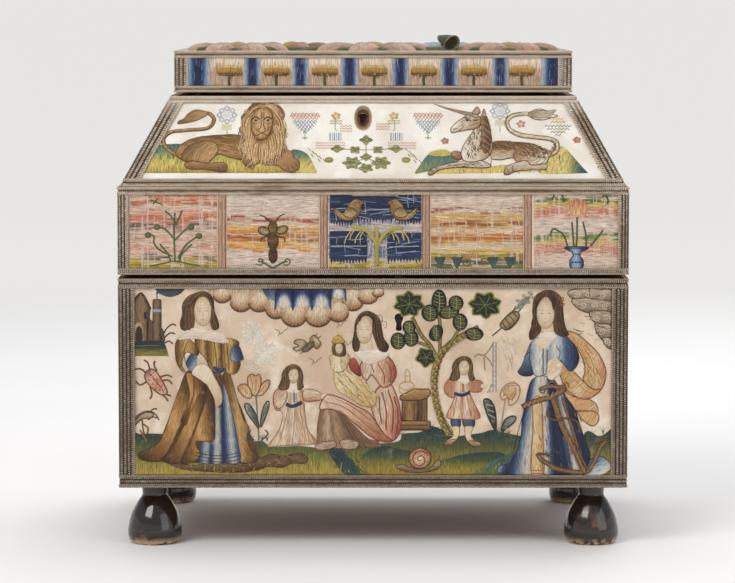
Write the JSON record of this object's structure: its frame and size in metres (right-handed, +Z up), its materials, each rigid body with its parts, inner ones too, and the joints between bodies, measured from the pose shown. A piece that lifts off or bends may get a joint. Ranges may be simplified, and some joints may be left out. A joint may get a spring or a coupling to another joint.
{
  "type": "embroidered casket",
  "caption": "Embroidered raised-work casket on turned feet, with a hinged hipped roof, a hinged flat top lid, locks and a lift-out tray.",
  "frame": {"origin": "on the floor under the middle of the casket, midway between the front braid and the back of the lower hinge barrels", "axes": "+X to the viewer's right along the front, +Y from the front to the hinges at the back, +Z up"},
  "size_m": [0.28, 0.19, 0.2817],
  "materials": {
    "carcase_wood": "plain deal board",
    "foot_wood": "ebonised and polished, worn brown in patches",
    "base_satin": "aged pinkish cream silk satin with embroidery",
    "slope_satin": "near-white silk satin with embroidery",
    "frieze_silk": "laid silk thread, worn",
    "top_satin": "cream silk satin with blue stripes",
    "silver_braid": "tarnished silver braid edged with cream cord",
    "lining_silk": "salmon pink silk",
    "tray_silk": "salmon pink silk over pasteboard",
    "raised_silk": "padded silk and covered petals",
    "brass": "worn",
    "steel": "filed, dull",
    "mirror_glass": "old plate"
  },
  "bodies": {
    "base": {"floor_board": "carcase_wood", "front_board": "carcase_wood", "back_board": "carcase_wood", "left_board": "carcase_wood", "right_board": "carcase_wood", "base_front_satin": "base_satin", "base_back_satin": "base_satin", "base_left_satin": "base_satin", "base_right_satin": "base_satin", "base_bottom_braid": "silver_braid", "base_top_braid": "silver_braid", "base_corner_braid_front_left": "silver_braid", "base_corner_braid_front_right": "silver_braid", "base_corner_braid_back_left": "silver_braid", "base_corner_braid_back_right": "silver_braid", "foot_front_left": "foot_wood", "foot_front_right": "foot_wood", "foot_back_left": "foot_wood", "foot_back_right": "foot_wood", "well_lining": "lining_silk", "lower_lock_case": "steel", "lower_hinge_left_fixed_leaf": "brass", "lower_hinge_right_fixed_leaf": "brass"},
    "lower_bolt": {"lower_lock_bolt": "steel"},
    "tray": {"tray_box": "tray_silk", "tray_dividers": "tray_silk"},
    "roof": {"frieze_front_board": "carcase_wood", "frieze_back_board": "carcase_wood", "frieze_left_board": "carcase_wood", "frieze_right_board": "carcase_wood", "roof_deck": "carcase_wood", "slope_front_board": "carcase_wood", "slope_back_board": "carcase_wood", "slope_left_board": "carcase_wood", "slope_right_board": "carcase_wood", "slope_front_satin": "slope_satin", "slope_back_satin": "slope_satin", "slope_left_satin": "slope_satin", "slope_right_satin": "slope_satin", "frieze_satin": "frieze_silk", "frieze_edging": "silver_braid", "slope_edging": "silver_braid", "upper_well_lining": "lining_silk", "lower_lock_staple": "steel", "lower_hinge_left_lid_leaf": "brass", "lower_hinge_right_lid_leaf": "brass", "upper_hinge_left_fixed_leaf": "brass", "upper_hinge_right_fixed_leaf": "brass", "upper_lock_case": "steel"},
    "upper_bolt": {"upper_lock_bolt": "steel"},
    "top_lid": {"top_frame": "carcase_wood", "top_board": "carcase_wood", "lid_mirror": "mirror_glass", "top_satin": "top_satin", "top_edging": "silver_braid", "upper_lock_staple": "steel", "upper_hinge_left_lid_leaf": "brass", "upper_hinge_right_lid_leaf": "brass", "raised_flowers": "raised_silk"}
  },
  "joints": [
    {"name": "roof_hinge", "type": "hinge", "parent": "base", "child": "roof", "pos_m": [0, 0.09315, 0.1495], "axis": [-1, 0, 0], "range_deg": [0, 95]},
    {"name": "top_lid_hinge", "type": "hinge", "parent": "roof", "child": "top_lid", "pos_m": [0, 0.06565, 0.2483], "axis": [-1, 0, 0], "range_deg": [0, 100]},
    {"name": "lower_bolt_slide", "type": "slide", "parent": "base", "child": "lower_bolt", "axis": [1, 0, 0], "range_m": [0, 0.0069]},
    {"name": "upper_bolt_slide", "type": "slide", "parent": "roof", "child": "upper_bolt", "axis": [1, 0, 0], "range_m": [0, 0.0069]},
    {"name": "tray_lift", "type": "slide", "parent": "base", "child": "tray", "axis": [0, 0, 1], "range_m": [0, 0.035]}
  ]
}
